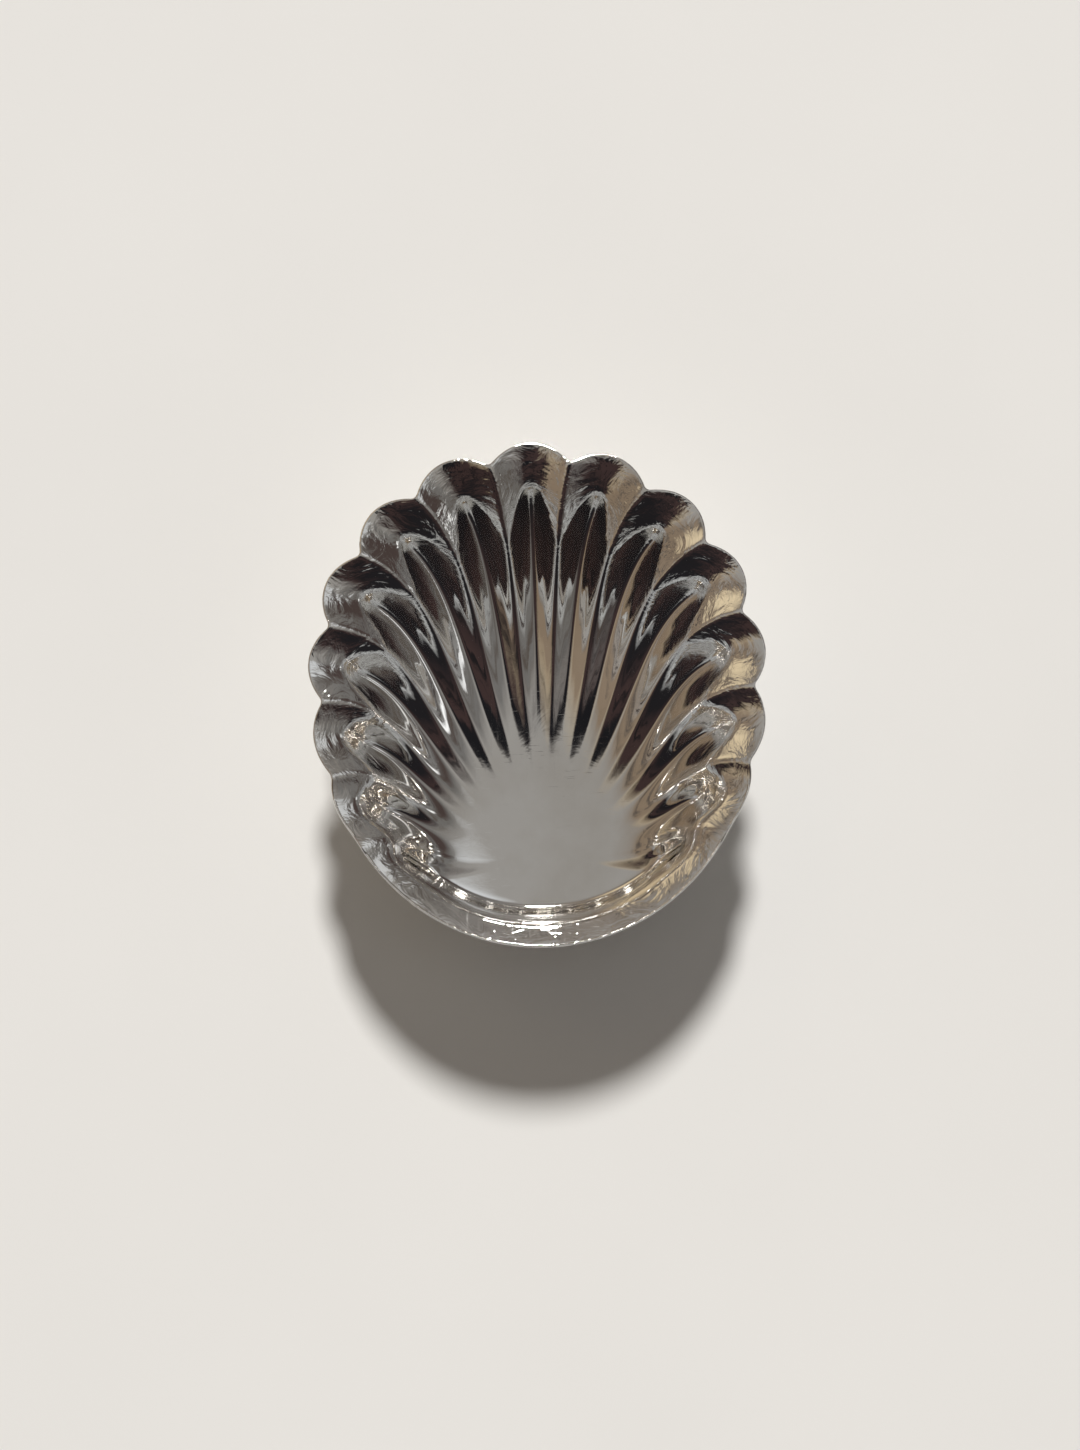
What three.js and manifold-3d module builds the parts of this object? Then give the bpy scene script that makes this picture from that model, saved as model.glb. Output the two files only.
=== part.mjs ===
// Shell bowl: a silver-plated dish pressed from one sheet as a scallop shell, on three ball feet.
// Millimetres, +Z up. +Y runs from the smooth hinge end to the scalloped lip and +X runs across.
// The origin is on the table under the middle of the dish.

import * as THREE from 'three';
import { mergeVertices } from 'three/addons/utils/BufferGeometryUtils.js';
import Module from 'manifold-3d';

const wasm = await Module();
wasm.setup();

const degree = Math.PI / 180;

// Rim outline: a fan arc and a hinge arc that run softly into each other, with lobes on the fan
// that fade towards the hinge end
const fanRadius = 59.5;
const fanCentreFromHinge = 77.7;
const hingeRadius = 57.8;
const shoulderSharpness = 15;
const lobeRise = 4.9;
const lobeFade = 3.6;

// Flutes, counted and spread round the fan
const fluteCount = 13;
const lastCuspAngle = 133.8 * degree;
const cuspCrowding = 0.091;
const hingeWidthInFlutes = 6;
const lastRidgeWidth = 0.6;

// Flute lines in plan: rays from the hinge end that curl outwards near the rim
const lastRayAngle = 49 * degree;
const raySpread = 0.11;
const rimCurl = 9.5;
const basinFromHinge = 27;
const basinFade = 4;

// Heights and slopes of the pressed sheet
const rimHeight = 38;
const bowlDepth = 27;
const sheetThickness = 0.9;
const lobeDip = 1;
const lipSlope = Math.tan(18 * degree);
const lipFlare = 1.25;
const frontRidgeFade = 3.5;
const sideRidgeFade = 2.8;

// The floor curves gently each way, and the wall leaves it to meet the lip at an angle
const floorRadiusAlong = 430;
const floorRadiusAcross = 130;
const frontWallAngle = 62 * degree;
const sideWallAngle = 82 * degree;
const hingeWallAngle = 88 * degree;

// Part of the wall's rise that comes gently on the way to it, and how late it comes
const frontGentleShare = 0.77;
const sideGentleShare = 0.25;
const frontGentlePower = 4.4;
const sideGentlePower = 4;

// How far the floor stays plain before the flutes rise from it
const plainFloorAhead = 3;
const plainFloorAside = 25;

// How slowly the walls and ridges change from those at the front of the fan to those at its sides
const asideGrowth = 1.5;

// Where the wall turns into the lip, measured inwards from the line through the cusps
const channelInset = 6;
const frontRidgeInset = 21.5;
const sideRidgeInset = 9;
const hingeInset = 8.2;
const bendRadius = 2.5;

// How much of half a flute the rounded crest of a ridge takes, and the notch in the rim
const crestShare = 0.4;
const cuspShare = 0.12;

// Feet, their pads and the solder between them
const footFlatRadius = 1.8;
const neckRadius = 2.4;
const neckHeight = 1.2;
const padRadius = 4.4;
const padThickness = 1;
const solderSize = 0.7;
const seamGap = 0.3;
const solderGap = 0.1;
const backFootFromHinge = 24;
const frontFootFlute = 3;
const frontFootFromBasin = 55;

// Fineness of the meshes
const columnsPerFlute = 8;
const hingeColumnsPerFlute = 5;
const wallRows = 11;
const rowCrowding = 1.35;
const bendRows = 4;
const lipRows = 3;
const lineSamples = 80;
const ballRows = 9;
const roundSegments = 24;

const halfFlutes = fluteCount / 2;
const halfTurns = halfFlutes + hingeWidthInFlutes / 2;

const silver = { color: 0xb9b6b0, roughness: 0.12, metalness: 1 };
const solder = { color: 0x8f8f8c, roughness: 0.45, metalness: 1 };

function blend(a, b, share) {
  return a + (b - a) * share;
}

function smooth(x) {
  const inside = Math.min(Math.max(x, 0), 1);
  return inside * inside * (3 - 2 * inside);
}

// Outline in plan. Angles are taken at the fan's centre, from +Y towards +X.

function smoothRadius(angle) {
  const centreGap = fanCentreFromHinge - hingeRadius;
  const hingeArc =
    -centreGap * Math.cos(angle) + Math.sqrt(hingeRadius ** 2 - (centreGap * Math.sin(angle)) ** 2);
  const sum = fanRadius ** shoulderSharpness + hingeArc ** shoulderSharpness;
  return sum ** (1 / shoulderSharpness);
}

const hingeEndRadius = smoothRadius(Math.PI);
const lipEndRadius = smoothRadius(0) + lobeRise;
const fanCentreY = (hingeEndRadius - lipEndRadius) / 2;
const hingeY = fanCentreY - hingeEndRadius;
const basin = new THREE.Vector2(0, hingeY + basinFromHinge);

// A turn counts flutes round the rim from the middle one. Past the last cusp it counts on, in
// steps as wide as a flute, along the smooth hinge end.

function rimAngle(turn) {
  const along = Math.abs(turn) / halfFlutes;
  if (along <= 1) {
    const crowded = (1 + cuspCrowding) * along - cuspCrowding * along ** 3;
    return Math.sign(turn) * lastCuspAngle * crowded;
  }
  const pastLastCusp = (Math.abs(turn) - halfFlutes) / (halfTurns - halfFlutes);
  return Math.sign(turn) * blend(lastCuspAngle, Math.PI, pastLastCusp);
}

function outward(turn) {
  const angle = rimAngle(turn);
  return new THREE.Vector2(Math.sin(angle), Math.cos(angle));
}

function cuspLinePoint(turn) {
  const point = outward(turn).multiplyScalar(smoothRadius(rimAngle(turn)));
  point.y += fanCentreY;
  return point;
}

// 0 at a cusp or ridge, 1 in the middle of a channel and along the hinge end

function channelShare(turn) {
  if (Math.abs(turn) >= halfFlutes) {
    return Math.min(1, (Math.abs(turn) - halfFlutes) / lastRidgeWidth);
  }
  const position = (turn + halfFlutes) % 1;
  return 1 - Math.abs(2 * position - 1);
}

// 1 on the crest of a ridge, 0 along the bottom of a channel, curved evenly on each

function ridgeShare(turn, crest) {
  const share = channelShare(turn);
  return share < crest ? 1 - share ** 2 / crest : (1 - share) ** 2 / (1 - crest);
}

function onFan(turn) {
  return Math.abs(turn) < halfFlutes;
}

// 0 at the front of the fan, 1 from its last cusps on

function aside(turn) {
  return Math.min(1, Math.abs(turn) / halfFlutes) ** asideGrowth;
}

// How far a lobe would stand out at a turn

function fullLobe(turn) {
  return lobeRise * (1 - Math.min(1, Math.abs(turn) / halfFlutes) ** lobeFade);
}

// Plan of one flute line, from the basin (0) to the line through the cusps (1)

function fanLine(turn, share) {
  const focus = new THREE.Vector2(0, hingeY);
  const end = cuspLinePoint(turn).sub(focus);
  const reach = end.length();
  const endAngle = Math.atan2(end.x, end.y);
  const along = turn / halfFlutes;
  const rayAngle = lastRayAngle * ((1 - raySpread) * along + raySpread * along ** 3);
  const ray = (distance) => {
    const angle = blend(rayAngle, endAngle, (distance / reach) ** rimCurl);
    return new THREE.Vector2(Math.sin(angle), Math.cos(angle)).multiplyScalar(distance).add(focus);
  };
  const toBasin = basin.clone().sub(ray(basinFromHinge));
  const point = ray(blend(basinFromHinge, reach, share));
  return point.addScaledVector(toBasin, (1 - share) ** basinFade);
}

// Past the fan the lines straighten out towards the middle of the hinge end

function planLine(turn, share) {
  if (onFan(turn)) {
    return fanLine(turn, share);
  }
  const lastTurn = Math.sign(turn) * halfFlutes;
  const bow = fanLine(lastTurn, share).sub(basin.clone().lerp(cuspLinePoint(lastTurn), share));
  const pastLastCusp = (Math.abs(turn) - halfFlutes) / (halfTurns - halfFlutes);
  const straight = basin.clone().lerp(cuspLinePoint(turn), share);
  return straight.addScaledVector(bow, 1 - smooth(pastLastCusp));
}

// A flute line measured along its length, so that places on it are real distances

function measuredLine(turn) {
  const points = [];
  const lengths = [0];
  for (let i = 0; i <= lineSamples; i++) {
    points.push(planLine(turn, i / lineSamples));
    if (i > 0) {
      lengths.push(lengths[i - 1] + points[i].distanceTo(points[i - 1]));
    }
  }
  const length = lengths[lineSamples];
  const pointAt = (distance) => {
    if (distance >= length) {
      return points[lineSamples].clone().addScaledVector(outward(turn), distance - length);
    }
    const next = lengths.findIndex((passed) => passed > distance);
    const share = (distance - lengths[next - 1]) / (lengths[next] - lengths[next - 1]);
    return points[next - 1].clone().lerp(points[next], share);
  };
  return { length, pointAt };
}

function floorRise(plan) {
  const along = plan.y - basin.y;
  return along ** 2 / (2 * floorRadiusAlong) + plan.x ** 2 / (2 * floorRadiusAcross);
}

// Height of the inside of the bowl along one flute line

function columnProfile(turn) {
  const line = measuredLine(turn);
  const hingeShare = onFan(turn) ? 0 : smooth(Math.abs(turn) - halfFlutes);
  const channelEnd = line.length - blend(channelInset, hingeInset, hingeShare);
  const ridgeInset = blend(frontRidgeInset, sideRidgeInset, aside(turn));
  const bend = blend(channelEnd, line.length - ridgeInset, ridgeShare(turn, crestShare));
  const notch = ridgeShare(turn, cuspShare);
  const lipWidth = line.length - bend + fullLobe(turn) * (1 - notch);
  const channelLipWidth = line.length - channelEnd + fullLobe(turn);
  const floorHeight = rimHeight - bowlDepth;
  const edgeHeight = rimHeight - lobeDip * (1 - notch);
  const bendHeight = edgeHeight - lipWidth * lipSlope;
  const channelTop = rimHeight - lobeDip - channelLipWidth * lipSlope;
  const floorEnd = floorRise(line.pointAt(channelEnd));
  const wallRise = channelTop - floorHeight - floorEnd;
  const fanWallAngle = blend(frontWallAngle, sideWallAngle, aside(turn));
  const wallSlope = Math.tan(blend(fanWallAngle, hingeWallAngle, hingeShare));
  const fanGentleShare = blend(frontGentleShare, sideGentleShare, aside(turn));
  const gentleShare = fanGentleShare * (1 - hingeShare);
  const gentlePower = blend(frontGentlePower, sideGentlePower, aside(turn));
  const endSlope = (wallSlope * channelEnd - 2 * floorEnd) / wallRise;
  const wallPower = (endSlope - gentleShare * gentlePower) / (1 - gentleShare);
  const channelHeight = (distance) => {
    const along = distance / channelEnd;
    const wall = gentleShare * along ** gentlePower + (1 - gentleShare) * along ** wallPower;
    return floorHeight + floorRise(line.pointAt(distance)) + wallRise * wall;
  };
  const ridgeRise = bendHeight - channelHeight(bend);
  const plainFloor = blend(plainFloorAhead, plainFloorAside, aside(turn));
  const ridgeFade = blend(frontRidgeFade, sideRidgeFade, aside(turn));
  const wallHeight = (distance) => {
    const share = Math.max(0, (distance - plainFloor) / (bend - plainFloor));
    return channelHeight(distance) + ridgeRise * share ** ridgeFade;
  };
  const lipHeight = (distance) => {
    const share = Math.min(1, (distance - bend) / lipWidth);
    return bendHeight + (edgeHeight - bendHeight) * (1 - (1 - share) ** lipFlare);
  };
  return { line, bend, lipWidth, wallHeight, lipHeight };
}

// Points up one flute line: the wall, the rounded bend and the lip

function columnPoints(turn) {
  const { line, bend, lipWidth, wallHeight, lipHeight } = columnProfile(turn);
  const place = (distance, height) => {
    const plan = line.pointAt(distance);
    return new THREE.Vector3(plan.x, plan.y, height);
  };
  const wallEnd = bend - bendRadius / 2;
  const lipStart = bend + bendRadius;
  const points = [];
  for (let i = 1; i <= wallRows; i++) {
    const distance = (wallEnd * Math.sin((i / wallRows) * rowCrowding)) / Math.sin(rowCrowding);
    points.push(place(distance, wallHeight(distance)));
  }
  for (let i = 1; i < bendRows; i++) {
    const share = i / bendRows;
    const lower = (1 - share) ** 2;
    const middle = 2 * share * (1 - share);
    const upper = share ** 2;
    const distance = lower * wallEnd + middle * bend + upper * lipStart;
    const height = lower * wallHeight(wallEnd) + middle * wallHeight(bend) + upper * lipHeight(lipStart);
    points.push(place(distance, height));
  }
  for (let i = 0; i <= lipRows; i++) {
    const distance = blend(lipStart, bend + lipWidth, i / lipRows);
    points.push(place(distance, lipHeight(distance)));
  }
  return points;
}

function columnTurns() {
  const turns = [];
  for (let i = 0; i < fluteCount * columnsPerFlute; i++) {
    turns.push(i / columnsPerFlute - halfFlutes);
  }
  const hingeColumns = hingeWidthInFlutes * hingeColumnsPerFlute;
  for (let i = 0; i < hingeColumns; i++) {
    const turn = halfFlutes + i / hingeColumnsPerFlute;
    turns.push(turn > halfTurns ? turn - 2 * halfTurns : turn);
  }
  return turns;
}

// Normal of the inside at each grid point, from its neighbours up and round the grid

function gridNormals(columns, basinPoint) {
  const count = columns.length;
  const rows = columns[0].length;
  return columns.map((column, c) =>
    column.map((point, r) => {
      const below = r > 0 ? column[r - 1] : basinPoint;
      const above = r < rows - 1 ? column[r + 1] : point;
      const up = above.clone().sub(below);
      const round = columns[(c + 1) % count][r].clone().sub(columns[(c + count - 1) % count][r]);
      return round.cross(up).normalize();
    }),
  );
}

// Closed solid between two skins, each made from the points and normals of the inside of the bowl

function gridSolid(topPoint, bottomPoint) {
  const columns = columnTurns().map(columnPoints);
  const basinPoint = new THREE.Vector3(basin.x, basin.y, rimHeight - bowlDepth);
  const basinNormal = new THREE.Vector3(0, 0, 1);
  const normals = gridNormals(columns, basinPoint);
  const count = columns.length;
  const rows = columns[0].length;
  const vertices = [];
  const triangles = [];
  const skin = (place) => {
    const first = vertices.length / 3;
    vertices.push(...place(basinPoint, basinNormal).toArray());
    columns.forEach((column, c) =>
      column.forEach((point, r) => {
        vertices.push(...place(point, normals[c][r]).toArray());
      }),
    );
    return (c, r) => (r < 0 ? first : first + 1 + (c % count) * rows + r);
  };
  const top = skin(topPoint);
  const bottom = skin(bottomPoint);
  const quad = (a, b, c, d) => triangles.push(a, b, c, a, c, d);
  for (let c = 0; c < count; c++) {
    triangles.push(top(c, -1), top(c + 1, 0), top(c, 0));
    triangles.push(bottom(c, -1), bottom(c, 0), bottom(c + 1, 0));
    for (let r = 0; r < rows - 1; r++) {
      quad(top(c, r), top(c + 1, r), top(c + 1, r + 1), top(c, r + 1));
      quad(bottom(c, r), bottom(c, r + 1), bottom(c + 1, r + 1), bottom(c + 1, r));
    }
    const edge = rows - 1;
    quad(top(c, edge), top(c + 1, edge), bottom(c + 1, edge), bottom(c, edge));
  }
  const geometry = new THREE.BufferGeometry();
  geometry.setAttribute('position', new THREE.Float32BufferAttribute(vertices, 3));
  geometry.setIndex(triangles);
  return geometry;
}

function below(distance) {
  return (point, normal) => point.clone().addScaledVector(normal, -distance);
}

function toManifold(geometry) {
  const bare = geometry.clone();
  bare.deleteAttribute('normal');
  bare.deleteAttribute('uv');
  const merged = mergeVertices(bare, 1e-4);
  return new wasm.Manifold(
    new wasm.Mesh({
      numProp: 3,
      vertProperties: new Float32Array(merged.attributes.position.array),
      triVerts: new Uint32Array(merged.index.array),
    }),
  );
}

function toGeometry(manifold) {
  const mesh = manifold.getMesh();
  const geometry = new THREE.BufferGeometry();
  geometry.setAttribute('position', new THREE.BufferAttribute(mesh.vertProperties, 3));
  geometry.setIndex(new THREE.BufferAttribute(mesh.triVerts, 1));
  return geometry;
}

// Lathe geometries turn round Y, so they are stood up on Z

function turned(profile) {
  const points = profile.map(([radius, height]) => new THREE.Vector2(radius, height));
  return new THREE.LatheGeometry(points, roundSegments).rotateX(Math.PI / 2);
}

function addPiece(group, name, geometry, finish, x = 0, y = 0) {
  const mesh = new THREE.Mesh(geometry, new THREE.MeshStandardMaterial(finish));
  mesh.name = name;
  mesh.position.set(x, y, 0);
  group.add(mesh);
}

// A pad: a round plate, its underside flat and its top cut to lie under the fluted sheet

function footPad(x, y, filledBowl) {
  const plate = (bottom) => {
    const blank = new THREE.CylinderGeometry(padRadius, padRadius, bowlDepth, roundSegments);
    return toManifold(blank.rotateX(Math.PI / 2).translate(x, y, bottom + bowlDepth / 2));
  };
  const underside = plate(0).intersect(filledBowl).boundingBox().min[2];
  const padBottom = underside - padThickness;
  return { geometry: toGeometry(plate(padBottom).subtract(filledBowl)), padBottom };
}

// A turned foot: a ball that fills the height under its neck, with a small flat to stand on

function ballFoot(neckTop) {
  const ballHeight = neckTop - neckHeight;
  const centre = (ballHeight + (neckRadius ** 2 - footFlatRadius ** 2) / ballHeight) / 2;
  const radius = Math.hypot(centre, footFlatRadius);
  const flatEdge = -Math.acos(footFlatRadius / radius);
  const neckEdge = Math.acos(neckRadius / radius);
  const profile = [[0, 0]];
  for (let i = 0; i <= ballRows; i++) {
    const angle = blend(flatEdge, neckEdge, i / ballRows);
    profile.push([radius * Math.cos(angle), centre + radius * Math.sin(angle)]);
  }
  profile.push([neckRadius, neckTop]);
  profile.push([0, neckTop]);
  return turned(profile);
}

function solderRing(padBottom) {
  const inner = neckRadius + solderGap;
  return turned([
    [inner, padBottom - solderSize],
    [inner + solderSize, padBottom],
    [inner, padBottom],
    [inner, padBottom - solderSize],
  ]);
}

function buildShellBowl() {
  const group = new THREE.Group();
  addPiece(group, 'bowl', gridSolid(below(0), below(sheetThickness)), silver);
  const lid = (point) => new THREE.Vector3(point.x, point.y, 2 * rimHeight);
  const filledBowl = toManifold(gridSolid(lid, below(sheetThickness + seamGap)));
  const underFlute = (turn) => measuredLine(turn).pointAt(frontFootFromBasin);
  const feet = {
    back: new THREE.Vector2(0, hingeY + backFootFromHinge),
    front_left: underFlute(-frontFootFlute),
    front_right: underFlute(frontFootFlute),
  };
  for (const [place, { x, y }] of Object.entries(feet)) {
    const pad = footPad(x, y, filledBowl);
    addPiece(group, `${place}_foot_pad`, pad.geometry, silver);
    addPiece(group, `${place}_foot`, ballFoot(pad.padBottom), silver, x, y);
    addPiece(group, `${place}_foot_solder`, solderRing(pad.padBottom), solder, x, y);
  }
  return group;
}

export default buildShellBowl();
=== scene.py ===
import math

import bpy
import numpy as np
from mathutils import Matrix, Vector
from mathutils.bvhtree import BVHTree


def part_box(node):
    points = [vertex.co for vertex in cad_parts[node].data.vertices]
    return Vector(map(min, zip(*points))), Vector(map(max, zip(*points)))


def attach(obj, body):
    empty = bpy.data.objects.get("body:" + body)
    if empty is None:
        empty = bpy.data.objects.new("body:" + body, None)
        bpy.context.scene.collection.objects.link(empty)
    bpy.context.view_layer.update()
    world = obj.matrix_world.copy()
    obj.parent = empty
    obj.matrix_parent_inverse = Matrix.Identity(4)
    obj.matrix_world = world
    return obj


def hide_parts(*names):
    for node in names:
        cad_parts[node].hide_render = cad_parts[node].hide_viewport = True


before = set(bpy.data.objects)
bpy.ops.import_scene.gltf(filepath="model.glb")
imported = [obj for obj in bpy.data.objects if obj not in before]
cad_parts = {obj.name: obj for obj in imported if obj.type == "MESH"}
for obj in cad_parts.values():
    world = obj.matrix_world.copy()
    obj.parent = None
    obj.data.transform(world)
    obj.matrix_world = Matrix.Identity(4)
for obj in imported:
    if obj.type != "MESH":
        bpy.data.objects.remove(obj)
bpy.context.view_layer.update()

mm = 0.001
degree = math.pi / 180

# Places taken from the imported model
bowl_low, bowl_high = (Vector(corner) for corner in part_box("bowl"))
rim_height = bowl_high.z
middle_y = (bowl_low.y + bowl_high.y) / 2

# Rim outline: a fan arc and a hinge arc that run softly into each other, with lobes on the fan
fan_radius = 59.5 * mm
fan_centre_from_hinge = 77.7 * mm
hinge_radius = 57.8 * mm
shoulder_sharpness = 15
lobe_rise = 4.9 * mm
lobe_fade = 3.6

# Flutes, counted and spread round the fan
flute_count = 13
last_cusp_angle = 133.8 * degree
cusp_crowding = 0.091
hinge_width_in_flutes = 6
last_ridge_width = 0.6

# Flute lines in plan: rays from the hinge end that curl outwards near the rim
last_ray_angle = 49 * degree
ray_spread = 0.11
rim_curl = 9.5
basin_from_hinge = 27 * mm
basin_fade = 4

# Heights and slopes of the pressed sheet
bowl_depth = 27 * mm
sheet_thickness = 0.9 * mm
lobe_dip = 1 * mm
lip_slope = math.tan(18 * degree)
lip_flare = 1.25
front_ridge_fade = 3.5
side_ridge_fade = 2.8

# The floor curves gently each way, and the wall leaves it to meet the lip at an angle
floor_radius_along = 430 * mm
floor_radius_across = 130 * mm
front_wall_angle = 62 * degree
side_wall_angle = 82 * degree
hinge_wall_angle = 88 * degree

# Part of the wall's rise that comes gently on the way to it, and how late it comes
front_gentle_share = 0.77
side_gentle_share = 0.25
front_gentle_power = 4.4
side_gentle_power = 4

# How far the floor stays plain before the flutes rise from it
plain_floor_ahead = 3 * mm
plain_floor_aside = 25 * mm

# How slowly the walls and ridges change from those at the front of the fan to those at its sides
aside_growth = 1.5

# Where the wall turns into the lip, measured inwards from the line through the cusps
channel_inset = 6 * mm
front_ridge_inset = 21.5 * mm
side_ridge_inset = 9 * mm
hinge_inset = 8.2 * mm
bend_radius = 2.5 * mm

# How much of half a flute the rounded crest of a ridge takes, and the notch in the rim
crest_share = 0.4
cusp_share = 0.12

# Feet, their pads and the solder between them
foot_flat_radius = 1.8 * mm
neck_radius = 2.4 * mm
neck_height = 1.2 * mm
neck_fillet = 0.4 * mm
pad_bevel = 0.2 * mm
pad_film = 0.05 * mm

# Relief of the plate, which is too fine for the meshes: ripples near the rim, scratches and pits
smooth_below = 24 * mm
worked_above = 34 * mm
ripple_height = 0.28 * mm
scratch_depth = 0.01 * mm
pit_depth = 0.008 * mm

# Fineness of the meshes
columns_per_flute = 32
hinge_columns_per_flute = 20
wall_rows = 56
bend_rows = 9
lip_rows = 14
edge_rows = 6
line_samples = 240
round_segments = 96
ball_rows = 40
fillet_rows = 10
pad_rows = 8

half_flutes = flute_count / 2
half_turns = half_flutes + hinge_width_in_flutes / 2
floor_height = rim_height - bowl_depth


def blend(a, b, share):
    return a + (b - a) * share


def smooth(x):
    inside = np.clip(x, 0, 1)
    return inside * inside * (3 - 2 * inside)


# Outline in plan. Angles are taken at the fan's centre, from +Y towards +X.


def smooth_radius(angle):
    centre_gap = fan_centre_from_hinge - hinge_radius
    hinge_arc = -centre_gap * np.cos(angle) + np.sqrt(
        hinge_radius**2 - (centre_gap * np.sin(angle)) ** 2
    )
    total = (fan_radius / mm) ** shoulder_sharpness + (hinge_arc / mm) ** shoulder_sharpness
    return total ** (1 / shoulder_sharpness) * mm


hinge_end_radius = smooth_radius(math.pi)
lip_end_radius = smooth_radius(0) + lobe_rise
hinge_y = middle_y - (hinge_end_radius + lip_end_radius) / 2
fan_centre = np.array([0, hinge_y + hinge_end_radius])
basin = np.array([0, hinge_y + basin_from_hinge])


# A turn counts flutes round the rim from the middle one. Past the last cusp it counts on, in
# steps as wide as a flute, along the smooth hinge end.


def rim_angle(turn):
    along = abs(turn) / half_flutes
    if along <= 1:
        crowded = (1 + cusp_crowding) * along - cusp_crowding * along**3
        return math.copysign(last_cusp_angle * crowded, turn)
    past_last_cusp = (abs(turn) - half_flutes) / (half_turns - half_flutes)
    return math.copysign(blend(last_cusp_angle, math.pi, past_last_cusp), turn)


def heading(angle):
    return np.array([np.sin(angle), np.cos(angle)])


def cusp_line_point(turn):
    angle = rim_angle(turn)
    return fan_centre + smooth_radius(angle) * heading(angle)


def on_fan(turn):
    return abs(turn) < half_flutes


def aside(turn):
    """0 at the front of the fan, 1 from its last cusps on"""
    return min(1, abs(turn) / half_flutes) ** aside_growth


def channel_share(turn):
    """0 at a cusp or ridge, 1 in the middle of a channel and along the hinge end"""
    if not on_fan(turn):
        return min(1, (abs(turn) - half_flutes) / last_ridge_width)
    position = (turn + half_flutes) % 1
    return 1 - abs(2 * position - 1)


def ridge_share(turn, crest):
    """1 on the crest of a ridge, 0 along the bottom of a channel, curved evenly on each"""
    share = channel_share(turn)
    if share < crest:
        return 1 - share**2 / crest
    return (1 - share) ** 2 / (1 - crest)


def full_lobe(turn):
    """How far a lobe would stand out at this turn; the lobes fade towards the hinge end"""
    return lobe_rise * (1 - min(1, abs(turn) / half_flutes) ** lobe_fade)


# Plan of one flute line, from the basin (0) to the line through the cusps (1)


def fan_line(turn, share):
    focus = np.array([0, hinge_y])
    end = cusp_line_point(turn) - focus
    reach = np.linalg.norm(end)
    end_angle = math.atan2(end[0], end[1])
    along = turn / half_flutes
    ray_angle = last_ray_angle * ((1 - ray_spread) * along + ray_spread * along**3)

    def ray(distance):
        angle = blend(ray_angle, end_angle, (distance / reach) ** rim_curl)
        return focus + (distance * heading(angle)).T

    to_basin = basin - ray(basin_from_hinge)
    point = ray(blend(basin_from_hinge, reach, share))
    return point + np.multiply.outer((1 - share) ** basin_fade, to_basin)


def plan_line(turn, share):
    if on_fan(turn):
        return fan_line(turn, share)
    last_turn = math.copysign(half_flutes, turn)
    straight = basin + np.multiply.outer(share, cusp_line_point(turn) - basin)
    last_straight = basin + np.multiply.outer(share, cusp_line_point(last_turn) - basin)
    past_last_cusp = (abs(turn) - half_flutes) / (half_turns - half_flutes)
    bow = fan_line(last_turn, share) - last_straight
    return straight + bow * (1 - smooth(past_last_cusp))


def measured_line(turn):
    """Length of a flute line and a function that gives the point at a distance along it"""
    points = plan_line(turn, np.linspace(0, 1, line_samples + 1))
    steps = np.linalg.norm(np.diff(points, axis=0), axis=1)
    lengths = np.concatenate([[0], np.cumsum(steps)])
    length = lengths[-1]
    outward = heading(rim_angle(turn))

    def point_at(distance):
        inside = np.minimum(distance, length)
        plan = np.stack([np.interp(inside, lengths, points[:, axis]) for axis in (0, 1)], axis=-1)
        return plan + np.multiply.outer(distance - inside, outward)

    return length, point_at


def floor_rise(plan):
    along = plan[..., 1] - basin[1]
    across = plan[..., 0]
    return along**2 / (2 * floor_radius_along) + across**2 / (2 * floor_radius_across)


def column_profile(turn, length, point_at):
    """Where the wall up one flute line turns into the lip, the lip's width, and both heights"""
    hinge_share = 0 if on_fan(turn) else smooth(abs(turn) - half_flutes)
    ridge = ridge_share(turn, crest_share)
    notch = ridge_share(turn, cusp_share)
    lobe = full_lobe(turn) * (1 - notch)
    channel_end = length - blend(channel_inset, hinge_inset, hinge_share)
    ridge_inset = blend(front_ridge_inset, side_ridge_inset, aside(turn))
    bend = blend(channel_end, length - ridge_inset, ridge)
    lip_width = length - bend + lobe
    channel_lip_width = length - channel_end + full_lobe(turn)
    edge_height = rim_height - lobe_dip * (1 - notch)
    bend_height = edge_height - lip_width * lip_slope
    channel_top = rim_height - lobe_dip - channel_lip_width * lip_slope
    floor_end = floor_rise(point_at(np.array(channel_end)))
    wall_rise = channel_top - floor_height - floor_end
    fan_wall_angle = blend(front_wall_angle, side_wall_angle, aside(turn))
    wall_slope = math.tan(blend(fan_wall_angle, hinge_wall_angle, hinge_share))
    gentle_share = blend(front_gentle_share, side_gentle_share, aside(turn)) * (1 - hinge_share)
    gentle_power = blend(front_gentle_power, side_gentle_power, aside(turn))
    end_slope = (wall_slope * channel_end - 2 * floor_end) / wall_rise
    wall_power = (end_slope - gentle_share * gentle_power) / (1 - gentle_share)

    def channel_height(distance):
        along = distance / channel_end
        wall = gentle_share * along**gentle_power + (1 - gentle_share) * along**wall_power
        return floor_height + floor_rise(point_at(distance)) + wall_rise * wall

    ridge_rise = bend_height - channel_height(np.array(bend))
    plain_floor = blend(plain_floor_ahead, plain_floor_aside, aside(turn))
    ridge_fade = blend(front_ridge_fade, side_ridge_fade, aside(turn))

    def wall_height(distance):
        share = np.maximum(0, (distance - plain_floor) / (bend - plain_floor))
        return channel_height(distance) + ridge_rise * share**ridge_fade

    def lip_height(distance):
        share = np.clip((distance - bend) / lip_width, 0, 1)
        return bend_height + (edge_height - bend_height) * (1 - (1 - share) ** lip_flare)

    return bend, lip_width, wall_height, lip_height


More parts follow.
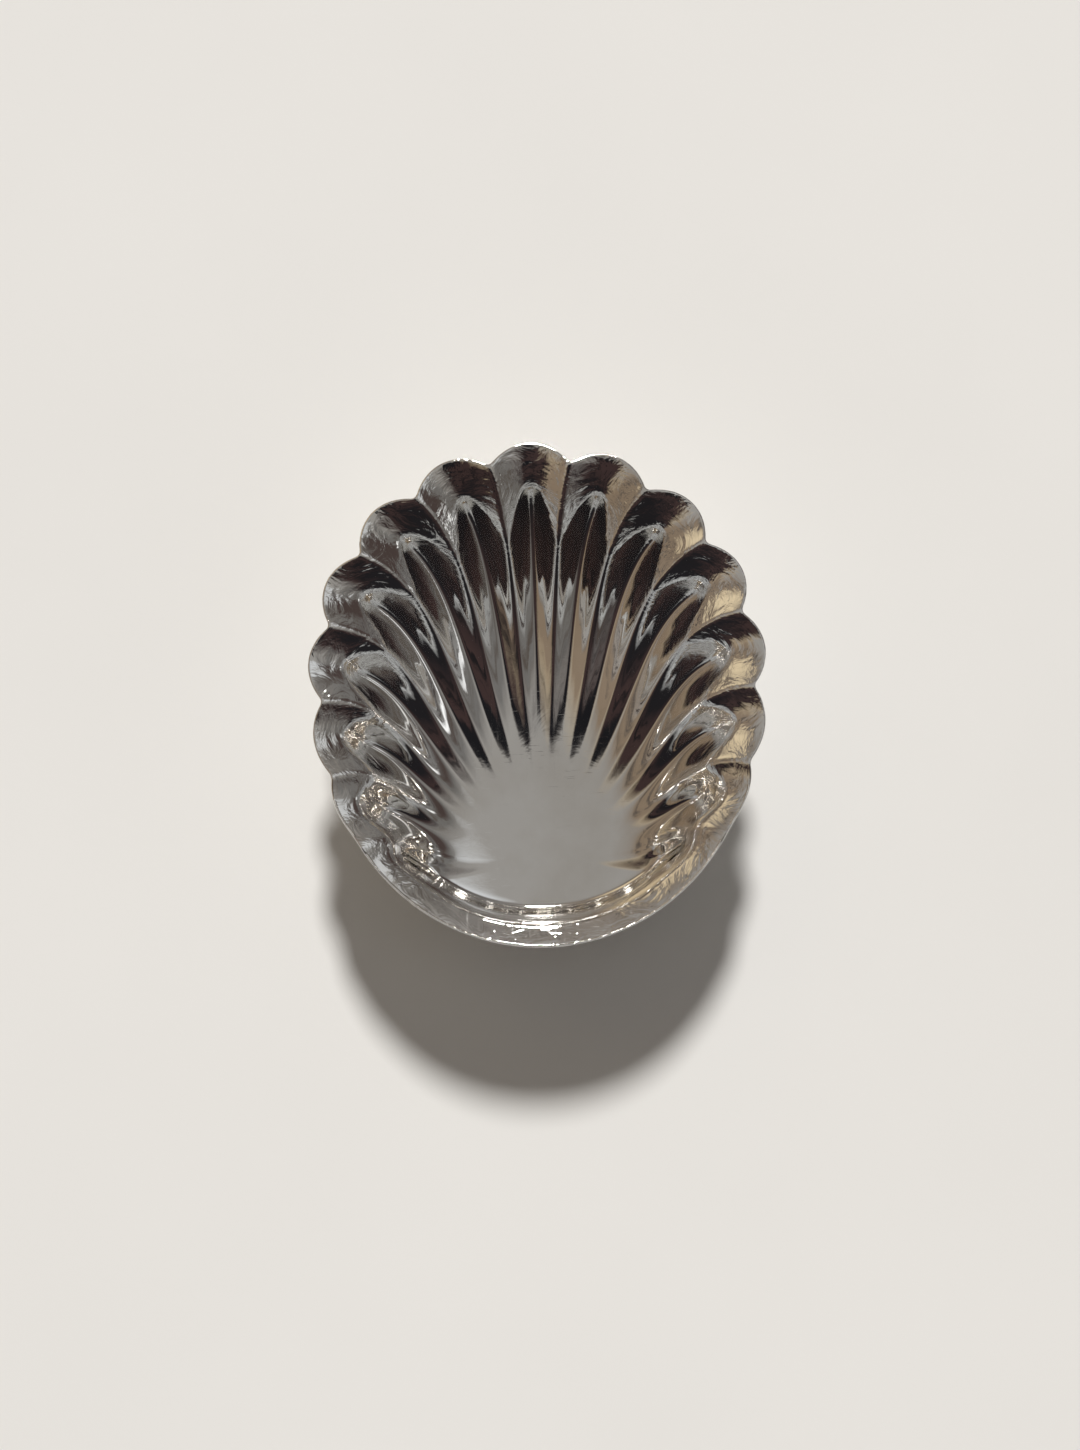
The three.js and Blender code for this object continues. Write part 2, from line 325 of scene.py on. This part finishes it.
def column_points(turn):
    """Points of the inside of the bowl up one flute line: wall, rounded bend and lip"""
    length, point_at = measured_line(turn)
    bend, lip_width, wall_height, lip_height = column_profile(turn, length, point_at)
    wall_end = bend - bend_radius / 2
    lip_start = bend + bend_radius
    wall = wall_end * np.arange(1, wall_rows + 1) / wall_rows
    along_bend = np.arange(1, bend_rows) / bend_rows
    lower = (1 - along_bend) ** 2
    middle = 2 * along_bend * (1 - along_bend)
    upper = along_bend**2
    rounded = lower * wall_end + middle * bend + upper * lip_start
    rounded_height = (
        lower * wall_height(np.array(wall_end))
        + middle * wall_height(np.array(bend))
        + upper * lip_height(lip_start)
    )
    lip = np.linspace(lip_start, bend + lip_width, lip_rows + 1)
    distance = np.concatenate([wall, rounded, lip])
    height = np.concatenate([wall_height(wall), rounded_height, lip_height(lip)])
    return np.column_stack([point_at(distance), height])


def column_turns():
    fan = np.arange(flute_count * columns_per_flute) / columns_per_flute - half_flutes
    hinge_columns = hinge_width_in_flutes * hinge_columns_per_flute
    hinge = half_flutes + np.arange(hinge_columns) / hinge_columns_per_flute
    hinge = np.where(hinge > half_turns, hinge - 2 * half_turns, hinge)
    return np.concatenate([fan, hinge])


def grid_normals(grid, basin_point):
    below = np.concatenate([np.broadcast_to(basin_point, (len(grid), 1, 3)), grid[:, :-1]], axis=1)
    above = np.concatenate([grid[:, 1:], grid[:, -1:]], axis=1)
    around = np.roll(grid, -1, axis=0) - np.roll(grid, 1, axis=0)
    normals = np.cross(around, above - below)
    return normals / np.linalg.norm(normals, axis=2, keepdims=True)


def link(made):
    bpy.context.scene.collection.objects.link(made)
    return made


def mesh_object(name, vertices, faces, materials, face_slots=None):
    mesh = bpy.data.meshes.new(name)
    mesh.from_pydata([tuple(v) for v in vertices], [], faces)
    for material in materials:
        mesh.materials.append(material)
    if face_slots is not None:
        mesh.polygons.foreach_set("material_index", face_slots)
    mesh.polygons.foreach_set("use_smooth", [True] * len(mesh.polygons))
    mesh.update()
    return link(bpy.data.objects.new(name, mesh))


def bowl_mesh(inside_finish, outside_finish):
    """The pressed sheet: the inside, the rounded edge and the outside, in one closed skin"""
    grid = np.stack([column_points(turn) for turn in column_turns()])
    basin_point = np.array([basin[0], basin[1], floor_height])
    normals = grid_normals(grid, basin_point)
    outside = grid - normals * sheet_thickness
    middle = (grid[:, -1] + outside[:, -1]) / 2
    across = (grid[:, -1] - outside[:, -1]) / 2
    outward = np.cross(across, np.roll(middle, -1, axis=0) - np.roll(middle, 1, axis=0))
    outward *= (sheet_thickness / 2) / np.linalg.norm(outward, axis=1, keepdims=True)
    angles = np.pi * np.arange(1, edge_rows) / edge_rows
    edge = np.stack(
        [middle - outward + across * np.cos(a) + outward * np.sin(a) for a in angles], axis=1
    )
    edge_top = grid[:, -1] - outward
    edge_bottom = outside[:, -1] - outward
    grid = np.concatenate([grid[:, :-1], edge_top[:, None]], axis=1)
    outside = np.concatenate([outside[:, :-1], edge_bottom[:, None]], axis=1)
    ring = np.concatenate([grid, edge, outside[:, ::-1]], axis=1)
    count, rows = ring.shape[:2]
    bottom_point = basin_point - np.array([0, 0, sheet_thickness])
    vertices = np.concatenate([ring.reshape(-1, 3), [basin_point, bottom_point]])
    top_centre, bottom_centre = len(vertices) - 2, len(vertices) - 1
    faces = []
    slots = []
    inside_rows = grid.shape[1] + edge_rows // 2
    for c in range(count):
        here, there = c * rows, ((c + 1) % count) * rows
        faces.append((top_centre, there, here))
        slots.append(0)
        for r in range(rows - 1):
            faces.append((here + r, there + r, there + r + 1, here + r + 1))
            slots.append(0 if r < inside_rows else 1)
        faces.append((bottom_centre, here + rows - 1, there + rows - 1))
        slots.append(1)
    return mesh_object("pressed_bowl", vertices, faces, [inside_finish, outside_finish], slots)


# Materials


class Nodes:
    """Short calls for the nodes of one material or world; a noise's scale is in waves per metre"""

    def __init__(self, tree):
        self.tree = tree
        self.tree.nodes.clear()

    def add(self, kind, **settings):
        node = self.tree.nodes.new(kind)
        for name, value in settings.items():
            setattr(node, name, value)
        return node

    def join(self, source, target):
        self.tree.links.new(source, target)

    def noise(self, coordinates, scale, detail=3.0, roughness=0.5, swirl=0.0):
        node = self.add("ShaderNodeTexNoise")
        node.inputs["Scale"].default_value = scale
        node.inputs["Detail"].default_value = detail
        node.inputs["Roughness"].default_value = roughness
        node.inputs["Distortion"].default_value = swirl
        self.join(coordinates, node.inputs["Vector"])
        return node.outputs["Fac"]

    def stretched(self, coordinates, factors, turn=0.0):
        node = self.add("ShaderNodeMapping")
        node.inputs["Scale"].default_value = factors
        node.inputs["Rotation"].default_value = (0, 0, turn)
        self.join(coordinates, node.inputs["Vector"])
        return node.outputs["Vector"]

    def spread(self, value, low, high, to_low, to_high):
        node = self.add("ShaderNodeMapRange")
        for name, number in (
            ("From Min", low),
            ("From Max", high),
            ("To Min", to_low),
            ("To Max", to_high),
        ):
            node.inputs[name].default_value = number
        self.join(value, node.inputs["Value"])
        return node.outputs["Result"]

    def mix(self, share, first, second):
        node = self.add("ShaderNodeMix", data_type="RGBA")
        self.join(share, node.inputs["Factor"])
        for socket, colour in ((node.inputs["A"], first), (node.inputs["B"], second)):
            if isinstance(colour, tuple):
                socket.default_value = (*colour, 1)
            else:
                self.join(colour, socket)
        return node.outputs["Result"]

    def sum(self, first, second):
        node = self.add("ShaderNodeMath", operation="ADD")
        self.join(first, node.inputs[0])
        self.join(second, node.inputs[1])
        return node.outputs["Value"]

    def product(self, first, second):
        node = self.add("ShaderNodeMath", operation="MULTIPLY")
        self.join(first, node.inputs[0])
        self.join(second, node.inputs[1])
        return node.outputs["Value"]

    def bump(self, height, strength, distance, base=None):
        node = self.add("ShaderNodeBump")
        node.inputs["Strength"].default_value = strength
        node.inputs["Distance"].default_value = distance
        self.join(height, node.inputs["Height"])
        if base is not None:
            self.join(base, node.inputs["Normal"])
        return node.outputs["Normal"]


def plated_silver(name, tint, tarnish, shine, haze, scratch_share):
    """Polished plate: clouds of tarnish, wiped haze, fine scratches, pits, and ripples near the rim"""
    material = bpy.data.materials.new(name)
    material.use_nodes = True
    nodes = Nodes(material.node_tree)
    place = nodes.add("ShaderNodeTexCoord").outputs["Object"]
    clouds = nodes.noise(place, 28, 4, 0.6)
    film = nodes.noise(place, 160, 3, 0.55)
    wiped = nodes.noise(nodes.stretched(place, (900, 60, 300), 0.5), 1, 2, 0.5)
    brushed = nodes.noise(nodes.stretched(place, (120, 2400, 900), -0.3), 1, 2, 0.6)
    pits = nodes.noise(place, 1500, 1, 0.4)
    colour = nodes.mix(nodes.spread(clouds, 0.42, 0.72, 0, 1), tint, tarnish)
    roughness = nodes.sum(
        nodes.spread(film, 0.35, 0.75, shine, haze), nodes.spread(wiped, 0.6, 0.8, 0, haze)
    )
    scratches = nodes.sum(
        nodes.spread(wiped, 0.62, 0.7, 0, -1), nodes.spread(brushed, 0.66, 0.72, 0, -1)
    )
    parts = nodes.add("ShaderNodeSeparateXYZ")
    nodes.join(place, parts.inputs["Vector"])
    worked = nodes.spread(parts.outputs["Z"], smooth_below, worked_above, 0.06, 1)
    ripples = nodes.noise(nodes.stretched(place, (80, 80, 240)), 1, 3, 0.5, 3)
    waviness = nodes.bump(nodes.product(ripples, worked), 1, ripple_height)
    scratched = nodes.bump(scratches, scratch_share, scratch_depth, waviness)
    pitted = nodes.bump(nodes.spread(pits, 0.86, 0.9, 0, -1), 0.3, pit_depth, scratched)
    shader = nodes.add("ShaderNodeBsdfPrincipled")
    shader.inputs["Metallic"].default_value = 1
    nodes.join(colour, shader.inputs["Base Color"])
    nodes.join(roughness, shader.inputs["Roughness"])
    nodes.join(pitted, shader.inputs["Normal"])
    nodes.join(shader.outputs["BSDF"], nodes.add("ShaderNodeOutputMaterial").inputs["Surface"])
    return material


def soft_solder():
    """Dull grey solder: uneven sheen, dark specks of flux and a rippled surface"""
    material = bpy.data.materials.new("dull_solder")
    material.use_nodes = True
    nodes = Nodes(material.node_tree)
    place = nodes.add("ShaderNodeTexCoord").outputs["Object"]
    cloud = nodes.noise(place, 400, 3, 0.6)
    speck = nodes.noise(place, 2500, 2, 0.5)
    ripple = nodes.noise(place, 900, 2, 0.4)
    grey = nodes.mix(nodes.spread(cloud, 0.35, 0.7, 0, 1), (0.5, 0.5, 0.49), (0.36, 0.35, 0.33))
    colour = nodes.mix(nodes.spread(speck, 0.64, 0.7, 0, 1), grey, (0.16, 0.13, 0.1))
    shader = nodes.add("ShaderNodeBsdfPrincipled")
    shader.inputs["Metallic"].default_value = 1
    nodes.join(colour, shader.inputs["Base Color"])
    nodes.join(nodes.spread(cloud, 0.3, 0.7, 0.34, 0.58), shader.inputs["Roughness"])
    nodes.join(nodes.bump(ripple, 0.5, 0.08 * mm), shader.inputs["Normal"])
    nodes.join(shader.outputs["BSDF"], nodes.add("ShaderNodeOutputMaterial").inputs["Surface"])
    return material


def paper(name, colour, fleck):
    """The pale floor: matt card with a faint mottle and grain"""
    material = bpy.data.materials.new(name)
    material.use_nodes = True
    nodes = Nodes(material.node_tree)
    place = nodes.add("ShaderNodeTexCoord").outputs["Object"]
    mottle = nodes.noise(place, 9, 3, 0.5)
    grain = nodes.noise(place, 900, 2, 0.5)
    shader = nodes.add("ShaderNodeBsdfPrincipled")
    shader.inputs["Roughness"].default_value = 0.85
    nodes.join(nodes.mix(mottle, colour, fleck), shader.inputs["Base Color"])
    nodes.join(nodes.bump(grain, 0.15, 0.05 * mm), shader.inputs["Normal"])
    nodes.join(shader.outputs["BSDF"], nodes.add("ShaderNodeOutputMaterial").inputs["Surface"])
    return material


# Feet


def turned_mesh(name, rings, centre, material, looped=False):
    """A round solid from rings of (radius, height), capped at both ends or looped back on itself"""
    rows, segments = rings.shape[:2]
    angles = 2 * np.pi * np.arange(segments) / segments
    x = centre.x + rings[..., 0] * np.cos(angles)
    y = centre.y + rings[..., 0] * np.sin(angles)
    vertices = np.stack([x, y, rings[..., 1]], axis=-1).reshape(-1, 3)
    faces = []
    for r in range(rows if looped else rows - 1):
        here, above = r * segments, ((r + 1) % rows) * segments
        for s in range(segments):
            after = (s + 1) % segments
            faces.append((here + s, here + after, above + after, above + s))
    if not looped:
        top = (rows - 1) * segments
        faces.append(tuple(reversed(range(segments))))
        faces.append(tuple(range(top, top + segments)))
    solid = mesh_object(name, vertices, faces, [material])
    solid.data.set_sharp_from_angle(angle=35 * degree)
    return solid


def even_rings(profile):
    """One ring of (radius, height) for each point of the profile"""
    return np.repeat(np.array(profile)[:, None, :], round_segments, axis=1)


def ball_foot(name, node, finish):
    """A turned ball with a small flat to stand on, and a short neck that it runs softly into"""
    low, high = (Vector(corner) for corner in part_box(node))
    ball_height = high.z - neck_height
    middle = (ball_height + (neck_radius**2 - foot_flat_radius**2) / ball_height) / 2
    radius = math.hypot(middle, foot_flat_radius)
    flat_edge = -math.acos(foot_flat_radius / radius)
    fillet_edge = math.acos((neck_radius + neck_fillet) / radius)
    angles = np.linspace(flat_edge, fillet_edge, ball_rows)
    ball = np.column_stack([radius * np.cos(angles), middle + radius * np.sin(angles)])
    share = np.linspace(0, 1, fillet_rows)[1:, None]
    corner = np.array([neck_radius, ball[-1, 1] - neck_fillet / 4])
    neck_foot = np.array([neck_radius, ball[-1, 1] + neck_fillet])
    fillet = (1 - share) ** 2 * ball[-1] + 2 * share * (1 - share) * corner + share**2 * neck_foot
    profile = np.concatenate([ball, fillet, [[neck_radius, high.z]]])
    return turned_mesh(name, even_rings(profile), (low + high) / 2, finish)


def foot_pad(name, node, sheet, finish):
    """A round plate with softened edges, its top lying under the fluted sheet"""
    low, high = (Vector(corner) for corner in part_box(node))
    centre = (low + high) / 2
    radius = (high.x - low.x) / 2
    angles = 2 * np.pi * np.arange(round_segments) / round_segments

    def under_sheet(reach):
        heights = []
        for angle in angles:
            start = Vector((centre.x + reach * math.cos(angle), centre.y + reach * math.sin(angle), 0))
            place, *_ = sheet.ray_cast(start, Vector((0, 0, 1)))
            heights.append(place.z - pad_film)
        return np.array(heights)

    def ring(reach, heights):
        return np.stack([np.full(round_segments, reach), heights * np.ones(round_segments)], axis=-1)

    inner = radius - pad_bevel
    side = [ring(radius, low.z + pad_bevel), ring(radius, under_sheet(radius) - pad_bevel)]
    top = [ring(reach, under_sheet(reach)) for reach in np.linspace(inner, radius / pad_rows, pad_rows)]
    rings = np.stack([ring(inner, low.z), *side, *top])
    return turned_mesh(name, rings, centre, finish)


def solder_seam(name, node, finish):
    """A hollow-faced ring of solder round a neck, a little uneven as it ran"""
    low, high = (Vector(corner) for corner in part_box(node))
    angles = 2 * np.pi * np.arange(round_segments) / round_segments
    width = (high.x - low.x) / 2 - neck_radius
    wide_swells = 0.08 * np.sin(2 * angles + low.x / mm)
    short_swells = 0.05 * np.sin(5 * angles + 1)
    size = width * (0.84 + wide_swells + short_swells)
    share = np.linspace(0, np.pi / 2, fillet_rows)[:, None]
    reach = neck_radius + size * (1 - np.cos(share))
    height = high.z - size * (1 - np.sin(share))
    face = np.stack([reach, height], axis=-1)
    rings = np.concatenate([face, even_rings([[neck_radius, high.z]])])
    return turned_mesh(name, rings, (low + high) / 2, finish, looped=True)


# The room


def point_camera():
    """Nearly straight down, leaning a little from the hinge end, as the photograph was taken"""
    distance = 500 * mm
    lean = 6 * degree
    roll = 2.1 * degree
    shown_height = 403.6 * mm
    aim = Vector((0.2 * mm, -9.6 * mm, rim_height))
    away = Vector((0, -math.sin(lean), math.cos(lean)))
    level_up = Vector((0, math.cos(lean), math.sin(lean)))
    level_right = Vector((1, 0, 0))
    up = level_up * math.cos(roll) + level_right * math.sin(roll)
    right = level_right * math.cos(roll) - level_up * math.sin(roll)
    camera = bpy.data.cameras.new("camera")
    camera.sensor_fit = "VERTICAL"
    camera.sensor_height = 24
    camera.lens = camera.sensor_height * distance / shown_height
    camera.clip_start = 0.01
    view = link(bpy.data.objects.new("camera", camera))
    turned = Matrix((right, up, away)).transposed().to_4x4()
    view.matrix_world = Matrix.Translation(aim + away * distance) @ turned
    bpy.context.scene.camera = view


def soft_sun(name, towards, power, width, colour):
    """A distant round softbox, as wide as it looks from the bowl"""
    light = bpy.data.lights.new(name, "SUN")
    light.energy = power
    light.angle = width
    light.color = colour
    lamp = link(bpy.data.objects.new(name, light))
    lamp.rotation_euler = Vector(towards).to_track_quat("Z", "Y").to_euler()


class Surroundings:
    """What the metal mirrors: a plain room painted by direction on the world"""

    def __init__(self, colour):
        world = bpy.data.worlds.new("studio")
        world.use_nodes = True
        bpy.context.scene.world = world
        self.nodes = Nodes(world.node_tree)
        self.direction = self.nodes.add("ShaderNodeTexCoord").outputs["Generated"]
        self.colour = colour

    def within(self, towards, radius, edge):
        """1 inside a round patch of the sky, 0 outside it, with a soft edge"""
        toward = self.nodes.add("ShaderNodeVectorMath", operation="DOT_PRODUCT")
        self.nodes.join(self.direction, toward.inputs[0])
        toward.inputs[1].default_value = Vector(towards).normalized()
        far, near = math.cos(radius + edge), math.cos(radius - edge)
        return self.nodes.spread(toward.outputs["Value"], far, near, 0, 1)

    def paint(self, colour, *shares):
        """A colour laid over what is there, as far as all the shares allow"""
        share = shares[0]
        for other in shares[1:]:
            share = self.nodes.product(share, other)
        self.colour = self.nodes.mix(share, self.colour, colour)

    def clutter(self, scale, low, high):
        """A vague unevenness, as of shelves and curtains out of focus"""
        return self.nodes.spread(self.nodes.noise(self.direction, scale, 4, 0.6), low, high, 0, 1)

    def finish(self):
        background = self.nodes.add("ShaderNodeBackground")
        self.nodes.join(self.colour, background.inputs["Color"])
        output = self.nodes.add("ShaderNodeOutputWorld")
        self.nodes.join(background.outputs["Background"], output.inputs["Surface"])


def facing(azimuth, from_zenith):
    """Direction by azimuth, from the lip end (0) towards +X (90 degrees), and angle from straight up"""
    flat = math.sin(from_zenith)
    return (flat * math.sin(azimuth), flat * math.cos(azimuth), math.cos(from_zenith))


def light_room():
    """A soft lamp past the lip end, and a room that is darkest past the hinge end"""
    soft_sun("key_lamp", facing(3 * degree, 52 * degree), 4.1, 8 * degree, (1, 0.99, 0.97))
    level = 90 * degree
    room = Surroundings((0.3, 0.285, 0.27))

    # Cream on one side, grey on the other, and clutter all round
    room.paint((0.26, 0.2, 0.145), room.within((-1, 0, 0), level, 35 * degree))
    room.paint((0.17, 0.165, 0.16), room.within((1, 0, 0), level, 35 * degree))
    room.paint((0.1, 0.085, 0.075), room.clutter(5, 0.5, 0.68))

    # The ceiling and five patches: colour, azimuth, angle from straight up, radius and soft edge
    for colour, azimuth, from_zenith, radius, edge in (
        ((0.33, 0.32, 0.305), 0, 0, 26, 8),
        ((0.64, 0.66, 0.68), 56, 23, 6, 6),
        ((0.75, 0.62, 0.42), -42, 50, 9, 8),
        ((0.5, 0.41, 0.28), -142, 32, 17, 7),
        ((0.07, 0.052, 0.048), 62, 50, 14, 5),
        ((1.1, 1.12, 1.13), 84, 62, 5, 2),
    ):
        towards = facing(azimuth * degree, from_zenith * degree)
        room.paint(colour, room.within(towards, radius * degree, edge * degree))

    # The dark part: a wedge that starts just past straight up and blackens further on
    past_top = room.within((0, -1, 0), 84 * degree, 1 * degree)
    further_on = room.within((0, -1, 0), 56 * degree, 8 * degree)
    wedge = (
        room.within(facing(154 * degree, level), level, 5 * degree),
        room.within(facing(-140 * degree, level), level, 8 * degree),
    )
    near_top = room.within(facing(180 * degree, 6 * degree), 10 * degree, 1.5 * degree)
    room.paint((0.05, 0.032, 0.031), past_top, *wedge)
    room.paint((0.015, 0.014, 0.016), further_on, *wedge)
    room.paint((0.015, 0.013, 0.014), past_top, *wedge, room.clutter(7, 0.5, 0.6))
    room.paint((0.012, 0.012, 0.014), past_top, near_top)

    # The lowest part of the room, pale past the hinge end and broken up by dark clutter
    low = room.within((0, 0, -1), 116 * degree, 4 * degree)
    room.paint((0.42, 0.43, 0.43), low, room.within((0, -1, 0), level, 20 * degree))
    room.paint((0.06, 0.05, 0.048), low, room.clutter(14, 0.52, 0.58))
    room.finish()


def lay_floor():
    """A pale card that reaches well past the picture"""
    half = 4000 * mm
    corners = [(-half, -half, 0), (half, -half, 0), (half, half, 0), (-half, half, 0)]
    material = paper("pale_card", (0.8, 0.79, 0.77), (0.76, 0.75, 0.73))
    mesh_object("floor", corners, [(0, 1, 2, 3)], [material])


def install(piece, node):
    """The piece rides on the one body and stands for a CAD node, which it hides"""
    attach(piece, "root")
    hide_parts(node)


def make_bowl():
    inside = plated_silver("silver_inside", (0.9, 0.885, 0.86), (0.78, 0.75, 0.7), 0.035, 0.09, 0.25)
    outside = plated_silver("silver_outside", (0.86, 0.84, 0.8), (0.7, 0.65, 0.57), 0.09, 0.2, 0.35)
    bowl = bowl_mesh(inside, outside)
    install(bowl, "bowl")
    return bowl


def make_feet(bowl):
    """The three feet with their pads, which are shaped to the underside of the bowl"""
    turned_finish = plated_silver("silver_turned", (0.86, 0.84, 0.8), (0.72, 0.67, 0.6), 0.08, 0.18, 0.3)
    seam_finish = soft_solder()
    sheet = BVHTree.FromPolygons(
        [vertex.co for vertex in bowl.data.vertices],
        [tuple(face.vertices) for face in bowl.data.polygons],
    )
    for place in ("back", "front_left", "front_right"):
        foot = f"{place}_foot"
        install(ball_foot(f"{foot}_ball", foot, turned_finish), foot)
        pad = f"{foot}_pad"
        install(foot_pad(f"{pad}_plate", pad, sheet, turned_finish), pad)
        seam = f"{foot}_solder"
        install(solder_seam(f"{seam}_seam", seam, seam_finish), seam)


bpy.context.scene.view_settings.view_transform = "Standard"
point_camera()
light_room()
lay_floor()
make_feet(make_bowl())
